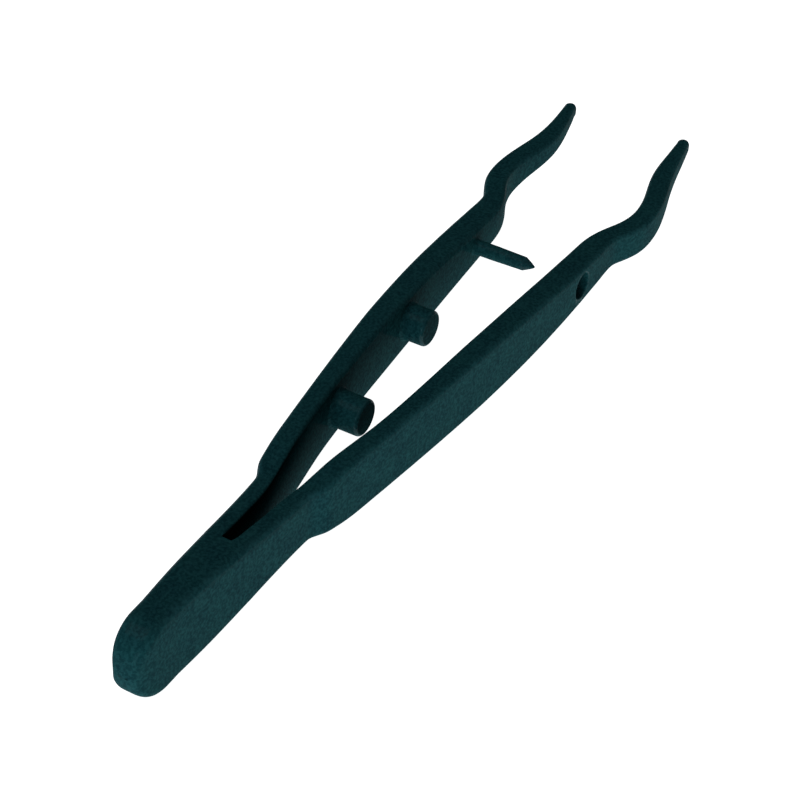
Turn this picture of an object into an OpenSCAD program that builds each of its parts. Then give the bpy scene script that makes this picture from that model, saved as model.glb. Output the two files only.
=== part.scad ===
// Plastic precision tweezers, lying on one side.
// X runs from the heel to the tips, Y is the opening direction (+Y is the left arm), Z is up.
// The origin is below the middle of the object, on the surface it lies on.
// Every x below is measured from the back end of the heel.

/* [Overall] */
// Length from the back of the heel to the tips
length = 127; // [125:0.5:131]
// Largest height, at the back of the heel
heel_height = 10; // [9.4:0.1:10.6]

/* [Heel] */
// Width of the heel just ahead of its rounded back end
heel_back_width = 4.6; // [4.2:0.1:5.4]
// Width of the heel's waist, where the arms leave it
waist_width = 7.4; // [7:0.1:8]
// Height of the waist
waist_height = 6.8; // [6.2:0.1:7.4]
// Where the slot between the arms starts
slot_x = 19.8; // [19:0.2:22]
// Width of the slot at its closed end
slot_width = 1.3; // [1:0.1:1.6]

/* [Arms] */
// Where the bending roots end and the rigid arms start
arm_x = 34; // [33.5:0.5:35]
// Where the rigid arms end and the narrow noses start
nose_x = 98.5; // [97.5:0.5:99.5]
// Distance between the outer faces of the arms at their widest
span = 19.9; // [19.4:0.1:20.6]
// Height of the arms where the fingers hold them
grip_height = 8.5; // [8:0.1:9]

/* [Noses] */
// Distance between the outermost points of the two noses
nose_span = 24.5; // [24:0.1:25]
// Gap between the two tips at rest
tip_gap = 16.1; // [15.6:0.1:16.6]
// Thickness of each tip
tip_thick = 1.8; // [1.5:0.1:2]
// Height of each tip
tip_height = 2; // [1.7:0.1:2.4]
// How far both tips lean towards the left arm
tip_lean = 1.5; // [0:0.1:2]

/* [Stops] */
// Diameter of both stop posts
stop_d = 4.8; // [4:0.1:5.2]
// Where the rear stop stands
rear_stop_x = 50.4; // [49.5:0.1:51.5]
// Distance of the rear stop's end from the middle plane
rear_stop_y = 0.1; // [0.1:0.1:1]
// Where the front stop stands
front_stop_x = 70.2; // [69:0.1:71.5]
// Distance of the front stop's end from the middle plane
front_stop_y = 2.2; // [2:0.1:3]
// Bevel around the free end of a stop
stop_bevel = 0.3; // [0.1:0.1:0.5]

/* [Guide pin] */
// Where the guide pin stands
pin_x = 89.5; // [89:0.1:90]
// Diameter of the pin at its root
pin_d = 2.2; // [1.8:0.1:2.3]
// Diameter of the pin where its point starts
pin_end_d = 2; // [1.6:0.1:2.1]
// Length of the pointed end
pin_point = 1.5; // [1:0.1:2]
// How far the pin's point reaches past the middle plane
pin_reach = 2.7; // [2:0.1:3]
// Diameter of the guide hole in the right arm
hole_d = 3.6; // [3.5:0.1:3.8]
// How far the hole sits behind the pin, which swings back as the arms close
hole_setback = 0.35; // [0.3:0.05:0.5]

/* [Hidden] */
$fn = 64;
plastic = "#16333a";
tip_x = length;
tip_y = tip_gap / 2;
tip_r = tip_thick / 2;
bulge_y = nose_span / 2;
hole_x = pin_x - hole_setback;
eps = 0.01;
// Stations of the heel: end of its flat, foot and top of the shoulder
flat_x = 10;
waist_x = 31.7;
shoulder_x = 34.8;
// Outer half width where the shoulder ends, and where each arm is widest
shoulder_y = 4.95;
widest_x = 94.5;
// Where the full grip height starts and ends
grip_start_x = 38.5;
grip_end_x = 64.5;
// Depth and power of the superellipse at the heel's back, in plan and from the side
back_plan = 7;
plan_power = 3.8;
back_side = 5;
side_power = 2.05;
// A stop or pin is rooted this deep in its arm, then cut flush with the arm's inner face
root_depth = 1.5;

function mix(a, b, t) = a + (b - a) * t;
function ease(t) = t * t * (3 - 2 * t);
function reversed(line) = [for (i = [len(line) - 1 : -1 : 0]) line[i]];
// A superellipse from the back end to its full half size
function rounded(depth, half, power) = concat(
    [for (a = [0 : 10 : 80]) [depth * (1 - pow(cos(a), 2 / power)), half * pow(sin(a), 2 / power)]],
    [[depth, half]]);
// Points from [x0, y0] to [x1, y1] whose height follows a quarter sine or an ease curve
function quarter(x0, y0, x1, y1, n) =
    [for (i = [0 : n - 1]) [mix(x0, x1, i / n), mix(y0, y1, sin(90 * i / n))]];
function eased(x0, y0, x1, y1, n) =
    [for (i = [0 : n - 1]) [mix(x0, x1, i / n), mix(y0, y1, ease(i / n))]];
// A smooth curve through the points of p, with n stretches between each two of them
function between(a, b, c, d, t) =
    0.5 * (2 * b + (c - a) * t + (2 * a - 5 * b + 4 * c - d) * t * t
           + (3 * b - a - 3 * c + d) * t * t * t);
function curve(p, n) =
    [for (i = [0 : len(p) - 2])
        for (k = [0 : n - 1])
            between(p[max(i - 1, 0)], p[i], p[i + 1], p[min(i + 2, len(p) - 1)], k / n),
     p[len(p) - 1]];
// The stretch of a line from x0 to x1, with its ends exactly there
function cut(line, x0, x1) =
    [[x0, lookup(x0, line)],
     for (p = line) if (p[0] > x0 + eps && p[0] < x1 - eps) p,
     [x1, lookup(x1, line)]];

// Left half of the plan view, outer side: back of the heel, shoulder, bowed arm, nose
outer = concat(
    rounded(back_plan, heel_back_width / 2, plan_power),
    quarter(waist_x, waist_width / 2, shoulder_x, shoulder_y, 5),
    quarter(shoulder_x, shoulder_y, widest_x, span / 2, 12),
    curve([[widest_x, span / 2], [nose_x, span / 2 + 0.05], [100.5, bulge_y - 1.35],
           [103, bulge_y - 0.35], [105.8, bulge_y], [109, bulge_y - 0.15],
           [112.5, bulge_y - 0.75], [116, bulge_y - 1.5], [119.5, bulge_y - 2],
           [123, bulge_y - 2.25], [tip_x - tip_r, tip_y + tip_thick]], 3));
// Left half of the plan view, inner side: slot, bowed arm, nose
inner = concat(
    [[slot_x, slot_width / 2]],
    curve([[29.5, 1.2], [40.5, 2.87], [48.5, 3.95], [58.5, 4.75], [68.5, 5.35], [80.5, 5.85],
           [92.5, 6.15], [97, 6.35], [100.3, 7.3], [102.8, 8.5], [105.3, 9.15], [107.5, 9.2],
           [110.3, 8.85], [113.5, 8.1], [116.5, tip_y - 0.45], [119.5, tip_y - 0.5],
           [122.8, tip_y - 0.25],
           [tip_x - tip_r, tip_y]], 3));
// The heel and grips seen from the side, one half: round back, taper to the waist, shoulder
half_height = concat(
    rounded(back_side, heel_height / 2, side_power),
    eased(flat_x, heel_height / 2, waist_x, waist_height / 2, 8),
    eased(waist_x, waist_height / 2, grip_start_x, grip_height / 2, 6),
    [[grip_start_x, grip_height / 2]]);
// From the grips to the tips the upper side drops and the underside rises to the middle
upper = curve([[grip_end_x, grip_height / 2], [76.5, grip_height / 2 - 0.6],
               [87.5, grip_height / 2 - 1.5], [nose_x, grip_height / 2 - 2.3],
               [106.5, tip_height], [115.5, tip_height - 0.1], [tip_x, tip_height]], 3);
under = curve([[grip_end_x, -grip_height / 2], [76.5, 0.35 - grip_height / 2],
               [87.5, 0.95 - grip_height / 2], [nose_x, 1.6 - grip_height / 2],
               [106.5, -2.3], [115.5, -1.2], [tip_x, 0]], 3);
side = concat(half_height, upper, reversed(under),
              [for (p = reversed(half_height)) [p[0], -p[1]]]);

// The same plan outline on the left (side = 1) or right (side = -1), both noses leaning left
function lean(x) = tip_lean * pow(max(0, (x - nose_x) / (tip_x - nose_x)), 3);
function on_side(line, side) = [for (p = line) [p[0], side * p[1] + lean(p[0])]];

// Puts a shape that is drawn around the middle line where the object lies
module placed() {
    translate([-length / 2, 0, heel_height / 2]) children();
}

// A zone of the moulding: its plan outline, as tall as the side view allows
module zone(plan) {
    color(plastic) placed() intersection() {
        translate([0, 0, -heel_height]) linear_extrude(2 * heel_height) polygon(plan);
        translate([0, nose_span, 0]) rotate([90, 0, 0])
            linear_extrude(2 * nose_span) polygon(side);
    }
}

// A stretch of the left (side = 1) or right (side = -1) arm between two stations
module arm_zone(side, x0, x1) {
    zone(on_side(concat(cut(outer, x0, x1), reversed(cut(inner, x0, x1))), side));
}

// The narrow front of an arm, with a rounded end
module nose(side) {
    end = tip_x - tip_r;
    tip = [for (a = [75 : -15 : -75]) [end + tip_r * cos(a), tip_y + tip_r + tip_r * sin(a)]];
    zone(on_side(concat(cut(outer, nose_x, end), tip, reversed(cut(inner, nose_x, end))), side));
}

module heel() {
    edge = cut(outer, 0, slot_x);
    zone(concat(edge, [for (p = reversed(edge)) [p[0], -p[1]]]));
}

module left_flexure() {
    arm_zone(1, slot_x, arm_x);
}

module right_flexure() {
    arm_zone(-1, slot_x, arm_x);
}

module left_arm() {
    arm_zone(1, arm_x, nose_x);
}

module right_arm() {
    color(plastic) difference() {
        arm_zone(-1, arm_x, nose_x);
        placed() translate([hole_x, 0, 0]) rotate([90, 0, 0]) cylinder(h = span, d = hole_d);
    }
}

module left_nose() {
    nose(1);
}

module right_nose() {
    nose(-1);
}

// A round piece on the left arm, drawn by its half outline from y0 outwards, cut flush with the arm
module post(x, y0, outline) {
    color(plastic) difference() {
        placed() translate([x, y0, 0]) rotate([-90, 0, 0]) rotate_extrude() polygon(outline);
        left_arm();
    }
}

module stop(x, y0) {
    r = stop_d / 2;
    root = lookup(x, inner) + root_depth - y0;
    post(x, y0, [[0, 0], [r - stop_bevel, 0], [r, stop_bevel], [r, root], [0, root]]);
}

module rear_stop() {
    stop(rear_stop_x, rear_stop_y);
}

module front_stop() {
    stop(front_stop_x, front_stop_y);
}

module guide_pin() {
    root = lookup(pin_x, inner) + root_depth + pin_reach;
    post(pin_x, -pin_reach, [[0, 0], [pin_end_d / 2, pin_point], [pin_d / 2, root], [0, root]]);
}

heel();
left_flexure();
right_flexure();
left_arm();
right_arm();
left_nose();
right_nose();
rear_stop();
front_stop();
guide_pin();
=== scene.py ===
"""Plastic precision tweezers: a moulded skin over the CAD frame, its material, light and camera.

Each piece is lofted through sections measured on its CAD node, then gets the soft edges of a
moulding. Everything is in metres, in the row frame.
"""

import math

import bpy
import numpy as np
from mathutils import Matrix, Vector
from mathutils.bvhtree import BVHTree
from mathutils.interpolate import poly_3d_calc


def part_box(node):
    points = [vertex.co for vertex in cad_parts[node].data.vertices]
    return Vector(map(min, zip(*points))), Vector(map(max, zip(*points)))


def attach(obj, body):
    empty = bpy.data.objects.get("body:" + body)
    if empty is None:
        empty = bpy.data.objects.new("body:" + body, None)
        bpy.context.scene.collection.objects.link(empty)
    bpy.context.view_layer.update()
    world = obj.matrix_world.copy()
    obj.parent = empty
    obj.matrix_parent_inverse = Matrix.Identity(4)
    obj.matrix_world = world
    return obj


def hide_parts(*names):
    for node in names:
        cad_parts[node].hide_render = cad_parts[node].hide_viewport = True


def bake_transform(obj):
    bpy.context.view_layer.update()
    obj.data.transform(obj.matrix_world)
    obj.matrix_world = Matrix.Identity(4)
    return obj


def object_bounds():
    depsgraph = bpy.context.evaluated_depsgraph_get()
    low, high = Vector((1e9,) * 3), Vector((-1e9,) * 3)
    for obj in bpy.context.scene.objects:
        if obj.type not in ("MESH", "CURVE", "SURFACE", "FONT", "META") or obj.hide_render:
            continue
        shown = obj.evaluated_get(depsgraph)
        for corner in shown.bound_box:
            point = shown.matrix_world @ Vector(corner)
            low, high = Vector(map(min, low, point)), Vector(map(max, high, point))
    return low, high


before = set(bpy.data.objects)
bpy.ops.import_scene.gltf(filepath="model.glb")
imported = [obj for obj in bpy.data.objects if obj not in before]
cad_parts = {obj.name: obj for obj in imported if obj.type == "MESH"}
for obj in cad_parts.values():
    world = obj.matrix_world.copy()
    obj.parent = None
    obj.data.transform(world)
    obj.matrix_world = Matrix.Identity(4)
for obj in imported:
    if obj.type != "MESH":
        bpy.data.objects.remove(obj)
cad_box = [list(corner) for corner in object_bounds()]
MM = 0.001

# Radii of the moulded edges
HEEL_EDGE = 1.15 * MM
ARM_EDGE = 0.8 * MM
NOSE_EDGE = 0.65 * MM
SLOT_EDGE = 0.35 * MM
STOP_EDGE = 0.42 * MM
STOP_ROOT = 0.45 * MM
PIN_ROOT = 0.35 * MM
PIN_TIP = 0.16 * MM
HOLE_RIM = 0.22 * MM
# An edge is at most this share of its section's smaller side
LARGEST_EDGE = 0.44
# The inner edges grow by this share of the distance ahead of the bending roots
INNER_GROWTH = 0.04
# Widths over which corners in the outer, inner and side outlines are smoothed
OUTER_SOFT = 0.4 * MM
INNER_SOFT = 0.8 * MM
SIDE_SOFT = 1.2 * MM
# Rounded ends: the heel's back is a superellipse in plan and from the side (depth, power)
BACK_PLAN = (7.0 * MM, 3.8)
BACK_SIDE = (5.0 * MM, 2.05)
TIP_ROUND = 0.8 * MM
TIP_DROP = 0.45 * MM
# How close to a rounded end its last ring comes, so that this ring keeps some size
BACK_SHARE = 0.998
TIP_SHARE = 0.995
# The pin's point, in units of its radius at the root: radius where the point starts, and length
PIN_END = 0.87
PIN_CONE = 1.4
# The hole's cutter reaches past each face by this much, and is this many rim radii wider there
HOLE_MARGIN = 0.6 * MM
HOLE_FLARE = 2.2
# Resolution: along a loft, round a corner, across a flat, round a post, round the ends
STEP = 0.4 * MM
CORNER = 6
FLAT = 4
ROUND = 72
BACK_RINGS = 26
TIP_RINGS = 9
# Marks on the skin: above 0 on a polished edge, below 0 where shade is painted between the arms
LOFT_MARK = 0.5
RIM_MARK = 0.7
STOP_END_SHADE = -0.8
DARKEST_SHADE_MARK = -1.0
# The long edges come to their full mark over this distance from the heel's back
PLAIN_BACK = 6 * MM
# Painted shade: faces between the arms darken towards their top where they are nearer to each
# other than twice the first value below. Their lowest part, about the second value's share of
# their height, stays plain
SHADE_GAP = 7.2 * MM
UNSHADED_FOOT = 0.1
# The heel's flat front end: how close to the outline its first ring is, and the size of the strip
# of painted shade in its middle, as shares of the slot's width and of the end's height
END_RIM = 0.99
SHADE_STRIP_WIDTH = 1.2
SHADE_STRIP_HEIGHT = 0.97
# Colours of the plastic (dark and light ends of each layer, worn edges), and of the painted
# shade deep between the arms
FLOW = ((0.0050, 0.0400, 0.0480), (0.0080, 0.0530, 0.0590))
MOTTLE = ((0.0035, 0.0320, 0.0400), (0.0105, 0.0660, 0.0680))
SPECK = ((0.0020, 0.0160, 0.0210), (0.0230, 0.0980, 0.1050))
WORN = (0.0240, 0.0900, 0.1000)
PAINTED_SHADE = (0.0006, 0.0030, 0.0040)
# How fast a mark below 0 turns to the painted shade, and how much of the worn colour a mark of 1
# shows at most
PAINTED_SHADE_GAIN = 1.35
MOST_WORN = 0.8
# Weight of the glossy coat all over, what a mark of 1 adds, and what the painted shade takes away
GLOSS = 0.03
POLISH_GLOSS = 0.3
PAINTED_SHADE_GLOSS = -0.045
COAT_ROUGHNESS = 0.13
# Roughness under the coat, what the mottle adds, and what wear takes away
ROUGHNESS = 0.36
MOTTLE_ROUGHNESS = 0.22
WORN_ROUGHNESS = -0.16
# Light that the floor gives off itself
FLOOR_GLOW = 1.0


def along_x(name):
    """Where a node starts and ends along X."""
    low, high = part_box(name)
    return low.x, high.x


BACK, SLOT = along_x("heel")
ARM = along_x("left_arm")[0]
NOSE, TIP = along_x("left_nose")
SIDES = {"left": 1, "right": -1}

# Stations along the whole object, close together at its rounded ends
turn = 1 - np.cos(np.linspace(0, math.pi / 2, BACK_RINGS))
X = [BACK + BACK_PLAN[0] * turn[:-1]]
for start, end in ((BACK + BACK_PLAN[0], SLOT), (SLOT, ARM), (ARM, NOSE), (NOSE, TIP - TIP_ROUND)):
    X.append(np.linspace(start, end, round((end - start) / STEP), endpoint=False))
X.append(TIP - TIP_ROUND * (1 - np.cos(np.linspace(math.pi / 2, 0, TIP_RINGS))))
X = np.concatenate(X)
AT_SLOT, AT_ARM, AT_NOSE = (int(np.abs(X - x).argmin()) for x in (SLOT, ARM, NOSE))


def sections(name, stations):
    """The extents (low y, high y, low z, high z) of a node's section at each station."""
    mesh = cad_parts[name].data
    co = np.array([v.co for v in mesh.vertices], float)
    ends = co[np.array([e.vertices[:] for e in mesh.edges])]
    low, high = along_x(name)
    rows = []
    for x in np.clip(stations, low + 1e-6, high - 1e-6):
        a, b = ends[:, 0], ends[:, 1]
        hit = ((a[:, 0] - x) * (b[:, 0] - x) <= 0) & (np.abs(a[:, 0] - b[:, 0]) > 1e-9)
        a, b = a[hit], b[hit]
        p = a + (b - a) * ((x - a[:, 0]) / (b[:, 0] - a[:, 0]))[:, None]
        rows.append([p[:, 1].min(), p[:, 1].max(), p[:, 2].min(), p[:, 2].max()])
    return np.array(rows)


def softened(values, width, keep_low, keep_high):
    """A profile over X with its corners smoothed, but left alone outside keep_low to keep_high."""
    pitch = 0.1 * MM
    even = np.arange(X[0], X[-1], pitch)
    fine = np.interp(even, X, values)
    reach = int(3 * width / pitch)
    kernel = np.exp(-0.5 * (np.arange(-reach, reach + 1) * pitch / width) ** 2)
    padded = np.concatenate(
        [2 * fine[0] - fine[reach:0:-1], fine, 2 * fine[-1] - fine[-2 : -reach - 2 : -1]]
    )
    smooth = np.interp(X, even, np.convolve(padded, kernel / kernel.sum(), "valid"))
    ramp = np.clip((X - keep_low) / (2 * MM), 0, 1) * np.clip((keep_high - X) / MM, 0, 1)
    return values + (smooth - values) * ramp


def rounding(depth, power, full):
    """How full the heel's section is over X, as a superellipse that reaches full at its depth."""
    u = np.clip((BACK + depth - X) / depth, 0, BACK_SHARE)
    return np.where(u > 0, (1 - u**power) ** (1 / power), full)


def profile(hand):
    """Outer y, inner y (both as distances from the middle plane), low z and high z over X."""
    side = SIDES[hand]
    spans = (
        ("heel", slice(0, AT_SLOT)),
        (f"{hand}_flexure", slice(AT_SLOT, AT_ARM)),
        (f"{hand}_arm", slice(AT_ARM, AT_NOSE)),
        (f"{hand}_nose", slice(AT_NOSE, len(X))),
    )
    outer, inner, low, high = (np.zeros(len(X)) for _ in range(4))
    for name, here in spans:
        s = sections(name, X[here])
        y = s[:, :2] if side > 0 else -s[:, 1::-1]
        inner[here], outer[here], low[here], high[here] = y[:, 0], y[:, 1], s[:, 2], s[:, 3]
    inner[:AT_SLOT] = inner[AT_SLOT]
    smooth_from, smooth_to = BACK + BACK_PLAN[0], TIP - TIP_ROUND
    outer = softened(outer, OUTER_SOFT, smooth_from, smooth_to)
    inner = softened(inner, INNER_SOFT, SLOT, smooth_to)
    low = softened(low, SIDE_SOFT, smooth_from, smooth_to)
    high = softened(high, SIDE_SOFT, smooth_from, smooth_to)
    # The heel's back is rounded in plan and from the side
    full = outer[smooth_from <= X][0]
    outer = full * rounding(*BACK_PLAN, outer / full)
    middle = (low + high) / 2
    half = np.interp(smooth_from, X, high - middle)
    half = np.where(X < smooth_from, half * rounding(*BACK_SIDE, 1), high - middle)
    low, high = middle - half, middle + half
    # The tips end in a half round
    end = X >= TIP - TIP_ROUND - 1e-9
    u = np.clip((X - TIP + TIP_ROUND) / TIP_ROUND, 0, TIP_SHARE)
    first = int(np.argmax(end))
    centre, half = (outer[first] + inner[first]) / 2, (outer[first] - inner[first]) / 2
    outer = np.where(end, centre + half * np.sqrt(1 - u**2), outer)
    inner = np.where(end, centre - half * np.sqrt(1 - u**2), inner)
    drop = TIP_DROP * (1 - np.sqrt(1 - u**2))
    return outer, inner, low + drop, high - drop


PROFILE = {hand: profile(hand) for hand in SIDES}


def ring(y0, y1, z0, z1, r0, r1):
    """A rounded rectangle in Y and Z: its points, their outward directions, and marks that are 1
    on its edges and 0 on its flats. r0 rounds the two corners at y0, and r1 the two at y1."""
    corners = (
        (y1 - r1, z0 + r1, r1, -90),
        (y1 - r1, z1 - r1, r1, 0),
        (y0 + r0, z1 - r0, r0, 90),
        (y0 + r0, z0 + r0, r0, 180),
    )
    points, out, edge = [], [], []
    for i, (cy, cz, r, start) in enumerate(corners):
        for k in range(CORNER + 1):
            a = math.radians(start + 90 * k / CORNER)
            out.append((math.cos(a), math.sin(a)))
            points.append((cy + r * math.cos(a), cz + r * math.sin(a)))
            edge.append(math.sin(math.pi * k / CORNER))
        cy, cz, r, start = corners[(i + 1) % 4]
        a = math.radians(start)
        last, goal = points[-1], (cy + r * math.cos(a), cz + r * math.sin(a))
        for k in range(1, FLAT):
            t = k / FLAT
            points.append((last[0] + (goal[0] - last[0]) * t, last[1] + (goal[1] - last[1]) * t))
            out.append(out[-1])
            edge.append(0.0)
    return points, out, edge


def edge_radius(x):
    """The outer edges: soft on the heel, tighter on the arms, tightest on the noses."""
    stations = (BACK, SLOT - 4 * MM, ARM + 2 * MM, NOSE - 6 * MM, NOSE + 6 * MM, TIP)
    return np.interp(
        x, stations, (HEEL_EDGE, HEEL_EDGE, ARM_EDGE, ARM_EDGE, NOSE_EDGE, NOSE_EDGE)
    )


def skin(hand, first, last):
    """The points, outward directions and marks of a loft from station first to station last.
    hand is left or right, or None for the heel, which is one full width."""
    outer, inner, low, high = PROFILE[hand or "left"]
    points, outs, edges = [], [], []
    for i in range(first, last + 1):
        y0, y1 = (inner[i], outer[i]) if hand else (-outer[i], outer[i])
        limit = LARGEST_EDGE * min(y1 - y0, high[i] - low[i])
        r1 = min(edge_radius(X[i]), limit)
        r0 = r1
        if hand:
            grown = SLOT_EDGE * min(1, (X[i] - SLOT) / MM) + INNER_GROWTH * max(0, X[i] - ARM)
            r0 = max(min(r1, grown), 0.01 * MM)
        if hand == "right":
            y0, y1, r0, r1 = -y1, -y0, r1, r0
        p, o, e = ring(y0, y1, low[i], high[i], r0, r1)
        points.append([(X[i], y, z) for y, z in p])
        outs.append(o)
        polish = LOFT_MARK * min(1, (X[i] - BACK) / PLAIN_BACK)
        # Painted shade between the arms: deeper the nearer this side's inner face is to the middle
        # plane
        depth = max(0, 1 - inner[i] / SHADE_GAP) if hand else 0
        marks = []
        for (_, z), out, mark in zip(p, o, e):
            # How squarely the skin faces the other arm here, and how high up it is; these shape
            # the painted shade
            facing = max(0, -SIDES[hand] * out[0]) if hand else 0
            lift = (z - low[i]) / (high[i] - low[i])
            dark = max(0, (1 + UNSHADED_FOOT) * lift - UNSHADED_FOOT)
            # The mark: polish on the edges, less the painted shade between the arms
            marks.append(polish * mark - depth * facing * dark)
        edges.append(marks)
    return np.array(points), np.array(outs), np.array(edges)


def loft_normals(points, outs):
    """Outward normals of a loft, square to both its rings and its run along X."""
    run = np.gradient(points, axis=0)
    along = -(outs[..., 0] * run[..., 1] + outs[..., 1] * run[..., 2])
    n = np.stack([along, outs[..., 0] * run[..., 0], outs[..., 1] * run[..., 0]], axis=-1)
    return n / np.maximum(np.linalg.norm(n, axis=-1), 1e-12)[..., None]


def set_marks(mesh, marks):
    """Gives each vertex of a mesh its mark, which the material reads."""
    mesh.attributes.new("edge", "FLOAT", "POINT").data.foreach_set(
        "value", np.asarray(marks, np.float32)
    )


def make(name, verts, faces, corner_normals, marks):
    """A closed smooth mesh with a normal for each face corner and a mark for each vertex."""
    mesh = bpy.data.meshes.new(name)
    mesh.from_pydata([tuple(v) for v in verts], [], faces)
    mesh.polygons.foreach_set("use_smooth", [True] * len(faces))
    set_marks(mesh, marks)
    mesh.normals_split_custom_set([tuple(n) for n in corner_normals])
    mesh.update()
    piece = bpy.data.objects.new(name, mesh)
    bpy.context.scene.collection.objects.link(piece)
    return piece


def joined(points, normals, round_start, round_end):
    """Vertices, faces and corner normals of rings joined into a tube with closed ends.
    A rounded end keeps the normals of its ring; an inner end is a flat cut."""
    rows, cols = points.shape[:2]
    flat = normals.reshape(-1, 3)
    faces, corners = [], []
    for i in range(rows - 1):
        for j in range(cols):
            k = (j + 1) % cols
            face = [i * cols + j, i * cols + k, (i + 1) * cols + k, (i + 1) * cols + j]
            faces.append(face)
            corners += [flat[v] for v in face]
    axis = points[-1].mean(0) - points[0].mean(0)
    axis /= np.linalg.norm(axis)
    start = list(range(cols))[::-1]
    end = list(range((rows - 1) * cols, rows * cols))
    faces += [start, end]
    corners += [flat[v] if round_start else -axis for v in start]
    corners += [flat[v] if round_end else axis for v in end]
    return points.reshape(-1, 3), faces, corners


def facing_out(verts, faces, corners):
    """The same faces, turned so that their winding agrees with their normals."""
    turned, kept, at = [], [], 0
    for face in faces:
        n = corners[at : at + len(face)]
        at += len(face)
        p = [Vector(verts[v]) for v in face]
        area = sum((p[i].cross(p[(i + 1) % len(p)]) for i in range(len(p))), Vector())
        if area.dot(Vector(sum(n))) < 0:
            face, n = face[::-1], n[::-1]
        turned.append(face)
        kept += list(n)
    return turned, kept


def tube(name, points, normals, marks, round_start=False, round_end=False):
    """A piece made of rings."""
    verts, faces, corners = joined(points, normals, round_start, round_end)
    faces, corners = facing_out(verts, faces, corners)
    return make(name, verts, faces, corners, marks.reshape(-1))


def with_slot_end(points, normals, marks):
    """Adds two rings across the heel's flat front end; the inner one is a strip of painted shade.
    """
    outline = points[-1]
    count = len(outline)
    centre = outline.mean(axis=0)
    half_width = outline[:, 1].max() - centre[1]
    slot_half = PROFILE["left"][1][AT_SLOT]
    rim = centre + (outline - centre) * END_RIM
    squeeze = (1, SHADE_STRIP_WIDTH * slot_half / half_width, SHADE_STRIP_HEIGHT)
    shade_strip = centre + (outline - centre) * squeeze
    ahead = np.tile((1.0, 0.0, 0.0), (2, count, 1))
    return (
        np.concatenate([points, [rim, shade_strip]]),
        np.concatenate([normals, ahead]),
        np.concatenate([marks, [np.zeros(count), np.full(count, DARKEST_SHADE_MARK)]]),
    )


def zone(name, hand, first, last, round_start=False, round_end=False):
    """The piece for one CAD zone, with its normals taken from a slightly longer stretch."""
    before, after = max(first - 1, 0), min(last + 1, len(X) - 1)
    if hand is None or first == AT_SLOT:
        before = first
    if hand is None:
        after = last
    points, outs, marks = skin(hand, before, after)
    normals = loft_normals(points, outs)
    keep = slice(first - before, last - before + 1)
    loft = points[keep], normals[keep], marks[keep]
    if hand is None:
        loft = with_slot_end(*loft)
    return tube(name, *loft, round_start, round_end)


def post(name, node, outline, root_radius, sink=0.5 * MM):
    """A round piece standing on the left arm's inner face, with a fillet spread onto that face.
    outline is a list of (distance from the free end, radius, axial normal, radial normal)."""
    low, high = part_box(node)
    cx, cz, y0 = (low.x + high.x) / 2, (low.z + high.z) / 2, low.y
    inner = PROFILE["left"][1]
    angles = np.arange(ROUND) * 2 * math.pi / ROUND
    c, s = np.cos(angles), np.sin(angles)
    r = outline[-1][1]
    rings, normals, marks = [], [], []

    def add(radius, y, axial, radial, mark=0.0):
        rings.append(np.stack([cx + radius * c, y + 0 * c, cz + radius * s], -1))
        normals.append(np.stack([radial * c, np.full(ROUND, -axial), radial * s], -1))
        marks.append(np.full(ROUND, mark))

    for d, radius, axial, radial in outline:
        mark = RIM_MARK if axial > 0.1 and radial > 0.1 else 0.0
        # Painted shade on a stop's free end, darker the nearer the end comes to the right arm
        if d == 0 and node != "guide_pin":
            mark = STOP_END_SHADE * (1 - (y0 + np.interp(cx, X, inner)) / (2 * SHADE_GAP)) ** 2
        add(radius, y0 + d, axial, radial, mark)
    fillet = 8
    for k in range(fillet + 1):
        a = math.radians(90 * k / fillet)
        radius = r + root_radius * (1 - math.cos(a))
        face = np.interp(cx + radius * c, X, inner)
        lift = root_radius * (1 - math.sin(a))
        add(radius, face - lift + 0.01 * MM * (k / fillet), math.sin(a), math.cos(a))
    add(radius, rings[-1][:, 1] + sink, 0, 1)
    return tube(name, np.array(rings), np.array(normals), np.array(marks))


def stop_profile(node):
    """From the middle of a stop's free end, over its rounded rim, down to its fillet."""
    low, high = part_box(node)
    r = (high.x - low.x) / 2
    rows = [(0, 0.25 * r, 1, 0), (0, 0.6 * r, 1, 0)]
    for k in range(6):
        c, s = math.cos(math.radians(18 * k)), math.sin(math.radians(18 * k))
        rows.append((STOP_EDGE * (1 - c), r - STOP_EDGE * (1 - s), c, s))
    rows.append((0.9 * MM, r, 0, 1))
    return rows


def pin_profile(node):
    """From the pin's blunt point, down its cone and over the soft shoulder to the shaft."""
    low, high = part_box(node)
    root = (high.x - low.x) / 2
    end, cone = PIN_END * root, PIN_CONE * root
    slope = math.atan2(end, cone)
    rows = []
    for k in range(5):
        a = math.radians(90 * k / 4) * (1 - slope / (math.pi / 2))
        c, s = math.cos(a), math.sin(a)
        rows.append((PIN_TIP * (1 - c), PIN_TIP * s + 0.02 * MM, c, s))
    for t in (0.35, 0.7, 0.92):
        rows.append((cone * t, end * t + PIN_TIP * (1 - t), math.sin(slope), math.cos(slope)))
    rows.append((cone, end, 0.5 * math.sin(slope), math.cos(0.5 * slope)))
    length = high.y - low.y
    for t in (0.05, 0.3, 0.6):
        rows.append((cone + (length - cone) * t, end + (root - end) * t, 0, 1))
    return rows


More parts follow.
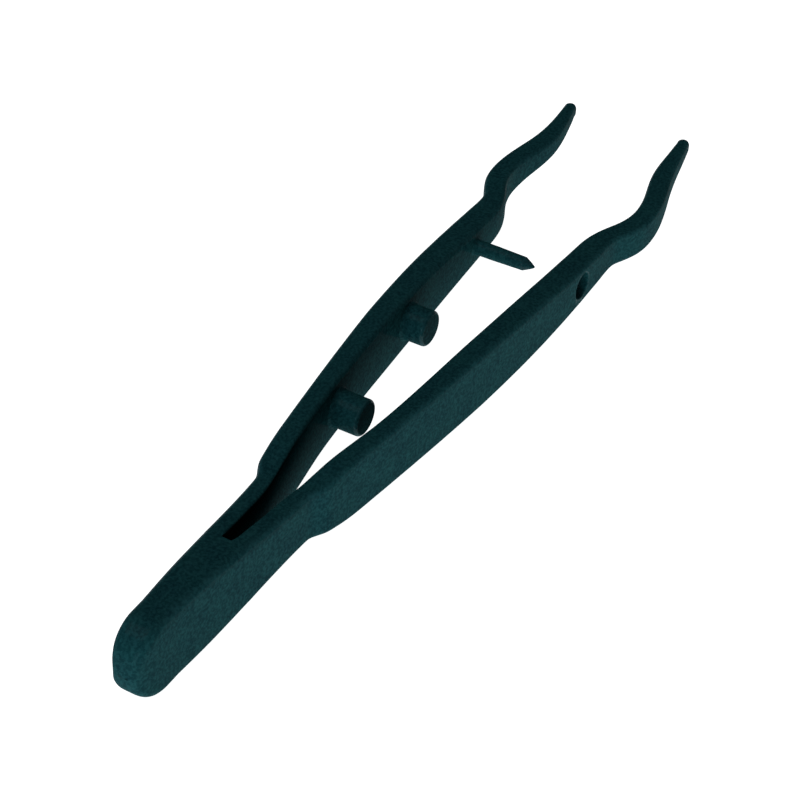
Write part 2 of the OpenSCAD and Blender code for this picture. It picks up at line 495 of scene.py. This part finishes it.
def hole_tool():
    """A round cutter through the right arm at the CAD hole, flared where it breaks each face."""
    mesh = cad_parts["right_arm"].data
    co = np.array([v.co for v in mesh.vertices], float)
    outer, inner = PROFILE["right"][:2]
    pin_low, pin_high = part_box("guide_pin")
    near = np.abs(co[:, 0] - (pin_low.x + pin_high.x) / 2) < 4 * MM
    near &= np.abs(co[:, 2] - (pin_low.z + pin_high.z) / 2) < 2 * MM
    wall = co[near]
    cx = (wall[:, 0].min() + wall[:, 0].max()) / 2
    cz = (wall[:, 2].min() + wall[:, 2].max()) / 2
    r = (wall[:, 0].max() - wall[:, 0].min()) / 2
    y_in, y_out = -np.interp(cx, X, inner), -np.interp(cx, X, outer)
    flare = []
    for degrees in range(90, -1, -15):
        a = math.radians(degrees)
        flare.append((HOLE_RIM * (1 - math.sin(a)), HOLE_RIM * (1 - math.cos(a))))
    widest = r + HOLE_RIM * HOLE_FLARE
    rows = [(y_in + HOLE_MARGIN, widest)]
    rows += [(y_in - d, r + g) for d, g in flare]
    rows += [(y_out + d, r + g) for d, g in reversed(flare)]
    rows.append((y_out - HOLE_MARGIN, widest))
    around = [(math.cos(a), math.sin(a)) for a in np.arange(ROUND) * 2 * math.pi / ROUND]
    rings = np.array([[(cx + q * c, y, cz + q * s) for c, s in around] for y, q in rows])
    normals = np.array([[(c, 0, s) for c, s in around] for _ in rows])
    tool = tube("hole_tool", rings, normals, np.zeros(rings.shape[:2]))
    return tool, (cx, cz, r, y_in, y_out)


def drilled(piece):
    """The right arm with its guide hole, keeping the skin's own normals around it."""
    tool, (cx, cz, r, y_in, y_out) = hole_tool()
    cut = piece.modifiers.new("hole", "BOOLEAN")
    cut.operation, cut.object, cut.solver = "DIFFERENCE", tool, "EXACT"
    source = piece.data
    graph = bpy.context.evaluated_depsgraph_get()
    mesh = bpy.data.meshes.new_from_object(piece.evaluated_get(graph))
    piece.modifiers.clear()
    verts = [v.co.copy() for v in source.vertices]
    faces = [list(p.vertices) for p in source.polygons]
    sides = [i for i, face in enumerate(faces) if len(face) == 4]
    tree = BVHTree.FromPolygons(verts, [faces[i] for i in sides])
    loops = np.zeros(len(source.loops) * 3)
    source.corner_normals.foreach_get("vector", loops)
    loops = loops.reshape(-1, 3)
    old_marks = [d.value for d in source.attributes["edge"].data]

    def on_skin(point):
        """The skin's normal and mark at the place nearest to a point."""
        index = sides[tree.find_nearest(point)[2]]
        weights = poly_3d_calc([verts[v] for v in faces[index]], point)
        first = source.polygons[index].loop_start
        normal = sum((Vector(loops[first + i]) * w for i, w in enumerate(weights)), Vector())
        return normal.normalized(), sum(old_marks[v] * w for v, w in zip(faces[index], weights))

    # Marks, painted shade included, carry over from the skin; each vertex starts at the darkest
    # mark
    corners, marks = [], np.full(len(mesh.vertices), DARKEST_SHADE_MARK)
    for face in mesh.polygons:
        points = [mesh.vertices[v].co for v in face.vertices]
        reach = [math.hypot(p.x - cx, p.z - cz) for p in points]
        low, high = min(p.y for p in points), max(p.y for p in points)
        in_hole = max(reach) < r + HOLE_RIM + 0.005 * MM
        in_hole &= low > y_out - 0.1 * MM and high < y_in + 0.1 * MM
        for v, p, q in zip(face.vertices, points, reach):
            if in_hole:
                across = Vector(((cx - p.x) / q, 0, (cz - p.z) / q))
                c = min(1.0, max(0.0, (HOLE_RIM - (q - r)) / HOLE_RIM))
                out = Vector((0, 1 if abs(p.y - y_in) < abs(p.y - y_out) else -1, 0))
                corners.append((across * c + out * math.sqrt(1 - c * c)).normalized())
                marks[v] = max(marks[v], 1 - c)
            else:
                normal, mark = on_skin(p)
                flat_end = abs(face.normal.x) > 0.98
                corners.append(face.normal.copy() if flat_end else normal)
                marks[v] = max(marks[v], mark)
    piece.data = mesh
    mesh.polygons.foreach_set("use_smooth", [True] * len(mesh.polygons))
    if "edge" in mesh.attributes:
        mesh.attributes.remove(mesh.attributes["edge"])
    set_marks(mesh, marks)
    mesh.normals_split_custom_set([tuple(n) for n in corners])
    bpy.data.objects.remove(tool)
    return piece


def moulding():
    """Satin dark green-black plastic: a fine eroded grain, faint flow marks and paler worn edges,
    with a nearly black painted shade deep between the arms."""
    material = bpy.data.materials.new("moulding")
    material.use_nodes = True
    nodes, link = material.node_tree.nodes, material.node_tree.links.new
    shader = nodes["Principled BSDF"]
    shader.inputs["Specular IOR Level"].default_value = 0.0
    shader.inputs["Coat Roughness"].default_value = COAT_ROUGHNESS
    where = nodes.new("ShaderNodeTexCoord").outputs["Object"]

    def noise(scale, detail, rough=0.5, stretch=None):
        n = nodes.new("ShaderNodeTexNoise")
        n.inputs["Scale"].default_value = scale
        n.inputs["Detail"].default_value = detail
        n.inputs["Roughness"].default_value = rough
        source = where
        if stretch:
            m = nodes.new("ShaderNodeMapping")
            m.inputs["Scale"].default_value = stretch
            link(where, m.inputs["Vector"])
            source = m.outputs["Vector"]
        link(source, n.inputs["Vector"])
        return n.outputs["Fac"]

    def ramp(fac, low, high, colours):
        """The first colour up to low, the second from high, and a blend between."""
        r = nodes.new("ShaderNodeValToRGB")
        for stop, position, colour in zip(r.color_ramp.elements, (low, high), colours):
            stop.position, stop.color = position, (*colour, 1)
        link(fac, r.inputs["Fac"])
        return r.outputs["Color"]

    def mix(fac, a, b):
        m = nodes.new("ShaderNodeMix")
        m.data_type = "RGBA"
        for value, socket in ((fac, m.inputs[0]), (a, m.inputs[6]), (b, m.inputs[7])):
            if isinstance(value, float):
                socket.default_value = value
            elif isinstance(value, tuple):
                socket.default_value = (*value, 1)
            else:
                link(value, socket)
        return m.outputs[2]

    def math_node(operation, *values):
        m = nodes.new("ShaderNodeMath")
        m.operation = operation
        for value, socket in zip(values, m.inputs):
            if isinstance(value, (int, float)):
                socket.default_value = value
            else:
                link(value, socket)
        return m.outputs[0]

    def bump(height, strength, distance, under=None):
        b = nodes.new("ShaderNodeBump")
        b.inputs["Strength"].default_value = strength
        b.inputs["Distance"].default_value = distance
        link(height, b.inputs["Height"])
        if under:
            link(under, b.inputs["Normal"])
        return b.outputs["Normal"]

    flow = noise(90, 4, 0.55, (0.35, 1, 1))
    mottle = noise(420, 5, 0.6)
    speck = noise(2600, 3, 0.6)
    grain = noise(5200, 2, 0.5)
    wear = noise(700, 4, 0.65)
    # The edge mark: above 0 on polished edges, below 0 where shade is painted
    mark = nodes.new("ShaderNodeAttribute")
    mark.attribute_name = "edge"
    raised = math_node("MAXIMUM", mark.outputs["Fac"], 0.0)
    # Painted shade: a mark below 0 turns the colour nearly black
    shade_mask = math_node("MULTIPLY", mark.outputs["Fac"], -PAINTED_SHADE_GAIN)
    shade_mask = math_node("MINIMUM", math_node("MAXIMUM", shade_mask, 0.0), 1.0)
    body = ramp(flow, 0.3, 0.7, FLOW)
    body = mix(0.5, body, ramp(mottle, 0.35, 0.65, MOTTLE))
    body = mix(0.35, body, ramp(speck, 0.40, 0.62, SPECK))
    worn = math_node("MULTIPLY", raised, ramp(wear, 0.35, 0.7, ((0, 0, 0), (1, 1, 1))))
    worn = math_node("MULTIPLY", worn, MOST_WORN)
    body = mix(worn, body, WORN)
    body = mix(shade_mask, body, PAINTED_SHADE)
    link(body, shader.inputs["Base Color"])
    # A thin gloss all over, more on the raised edges and none where the painted shade is deepest
    polish = math_node("POWER", raised, 2)
    gloss = math_node("MULTIPLY_ADD", shade_mask, PAINTED_SHADE_GLOSS, GLOSS)
    gloss = math_node("MULTIPLY_ADD", polish, POLISH_GLOSS, math_node("MAXIMUM", gloss, 0.0))
    link(gloss, shader.inputs["Coat Weight"])
    rough = math_node("MULTIPLY_ADD", mottle, MOTTLE_ROUGHNESS, ROUGHNESS)
    rough = math_node("MULTIPLY_ADD", worn, WORN_ROUGHNESS, rough)
    link(rough, shader.inputs["Roughness"])
    fine = bump(grain, 0.35, 0.02 * MM)
    link(bump(mottle, 0.3, 0.05 * MM, fine), shader.inputs["Normal"])
    return material


PLASTIC = moulding()


def place(piece, body, *nodes):
    """Gives a piece its material and, if there is one, its body, and hides the CAD nodes it stands
    for.
    """
    piece.data.materials.clear()
    piece.data.materials.append(PLASTIC)
    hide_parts(*nodes)
    if body:
        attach(piece, body)


place(zone("heel_skin", None, 0, AT_SLOT, round_start=True), "heel", "heel")
for hand in SIDES:
    arm_body = f"{hand}_arm"
    root = zone(f"{hand}_flexure_skin", hand, AT_SLOT, AT_ARM)
    place(root, None, f"{hand}_flexure")
    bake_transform(root)
    arm = zone(f"{hand}_arm_skin", hand, AT_ARM, AT_NOSE)
    if hand == "right":
        arm = drilled(arm)
    place(arm, arm_body, f"{hand}_arm")
    nose = zone(f"{hand}_nose_skin", hand, AT_NOSE, len(X) - 1, round_end=True)
    place(nose, arm_body, f"{hand}_nose")
for node, outline, root_radius in (
    ("rear_stop", stop_profile, STOP_ROOT),
    ("front_stop", stop_profile, STOP_ROOT),
    ("guide_pin", pin_profile, PIN_ROOT),
):
    place(post(f"{node}_skin", node, outline(node), root_radius), "left_arm", node)


def floor():
    """A plain white surface under the object, lit from within like a light table."""
    mesh = bpy.data.meshes.new("floor")
    size = 3.0
    corners = [(-size, -size, 0), (size, -size, 0), (size, size, 0), (-size, size, 0)]
    mesh.from_pydata(corners, [], [(0, 1, 2, 3)])
    piece = bpy.data.objects.new("floor", mesh)
    bpy.context.scene.collection.objects.link(piece)
    piece.location.z = cad_box[0][2] - 0.02 * MM
    material = bpy.data.materials.new("floor")
    material.use_nodes = True
    shader = material.node_tree.nodes["Principled BSDF"]
    shader.inputs["Base Color"].default_value = (0.9, 0.9, 0.9, 1)
    shader.inputs["Roughness"].default_value = 0.9
    shader.inputs["Specular IOR Level"].default_value = 0.0
    shader.inputs["Emission Color"].default_value = (1, 1, 1, 1)
    shader.inputs["Emission Strength"].default_value = FLOOR_GLOW
    mesh.materials.append(material)


def area_light(name, towards, distance, size, power, colour=(1, 1, 1)):
    """A square soft light that shines on the middle of the object from a direction."""
    light = bpy.data.lights.new(name, "AREA")
    light.shape, light.size, light.energy, light.color = "SQUARE", size, power, colour
    lamp = bpy.data.objects.new(name, light)
    bpy.context.scene.collection.objects.link(lamp)
    direction = Vector(towards).normalized()
    lamp.location = direction * distance
    lamp.rotation_mode = "QUATERNION"
    lamp.rotation_quaternion = direction.to_track_quat("Z", "Y")


floor()
area_light("key", (-0.25, 0.30, 0.90), 0.9, 0.5, 1.5)
area_light("fill", (-0.97, -0.10, 0.20), 1.1, 0.5, 3.2, (0.55, 0.85, 1.0))
world = bpy.data.worlds.new("studio")
world.use_nodes = True
world.node_tree.nodes["Background"].inputs["Color"].default_value = (0.93, 0.97, 1.0, 1)
world.node_tree.nodes["Background"].inputs["Strength"].default_value = 0.12
bpy.context.scene.world = world
bpy.context.scene.view_settings.view_transform = "Standard"


def camera():
    """The viewpoint: behind the heel, on the right arm's side, looking down along the tweezers."""
    lens = bpy.data.cameras.new("camera")
    lens.sensor_width = 36
    lens.lens = 99
    lens.clip_start, lens.clip_end = 0.01, 20
    eye = bpy.data.objects.new("camera", lens)
    bpy.context.scene.collection.objects.link(eye)
    azimuth, elevation, roll = math.radians(27.93), math.radians(38.84), math.radians(2.94)
    level = math.cos(elevation)
    ahead = Vector((level * math.cos(azimuth), level * math.sin(azimuth), -math.sin(elevation)))
    right = Vector((math.sin(azimuth), -math.cos(azimuth), 0))
    up = right.cross(ahead)
    across = right * math.cos(roll) + up * math.sin(roll)
    upward = up * math.cos(roll) - right * math.sin(roll)
    turned = Matrix((across, upward, -ahead)).transposed()
    eye.matrix_world = Matrix.Translation((-0.1918, -0.0991, 0.1727)) @ turned.to_4x4()
    bpy.context.scene.camera = eye


camera()
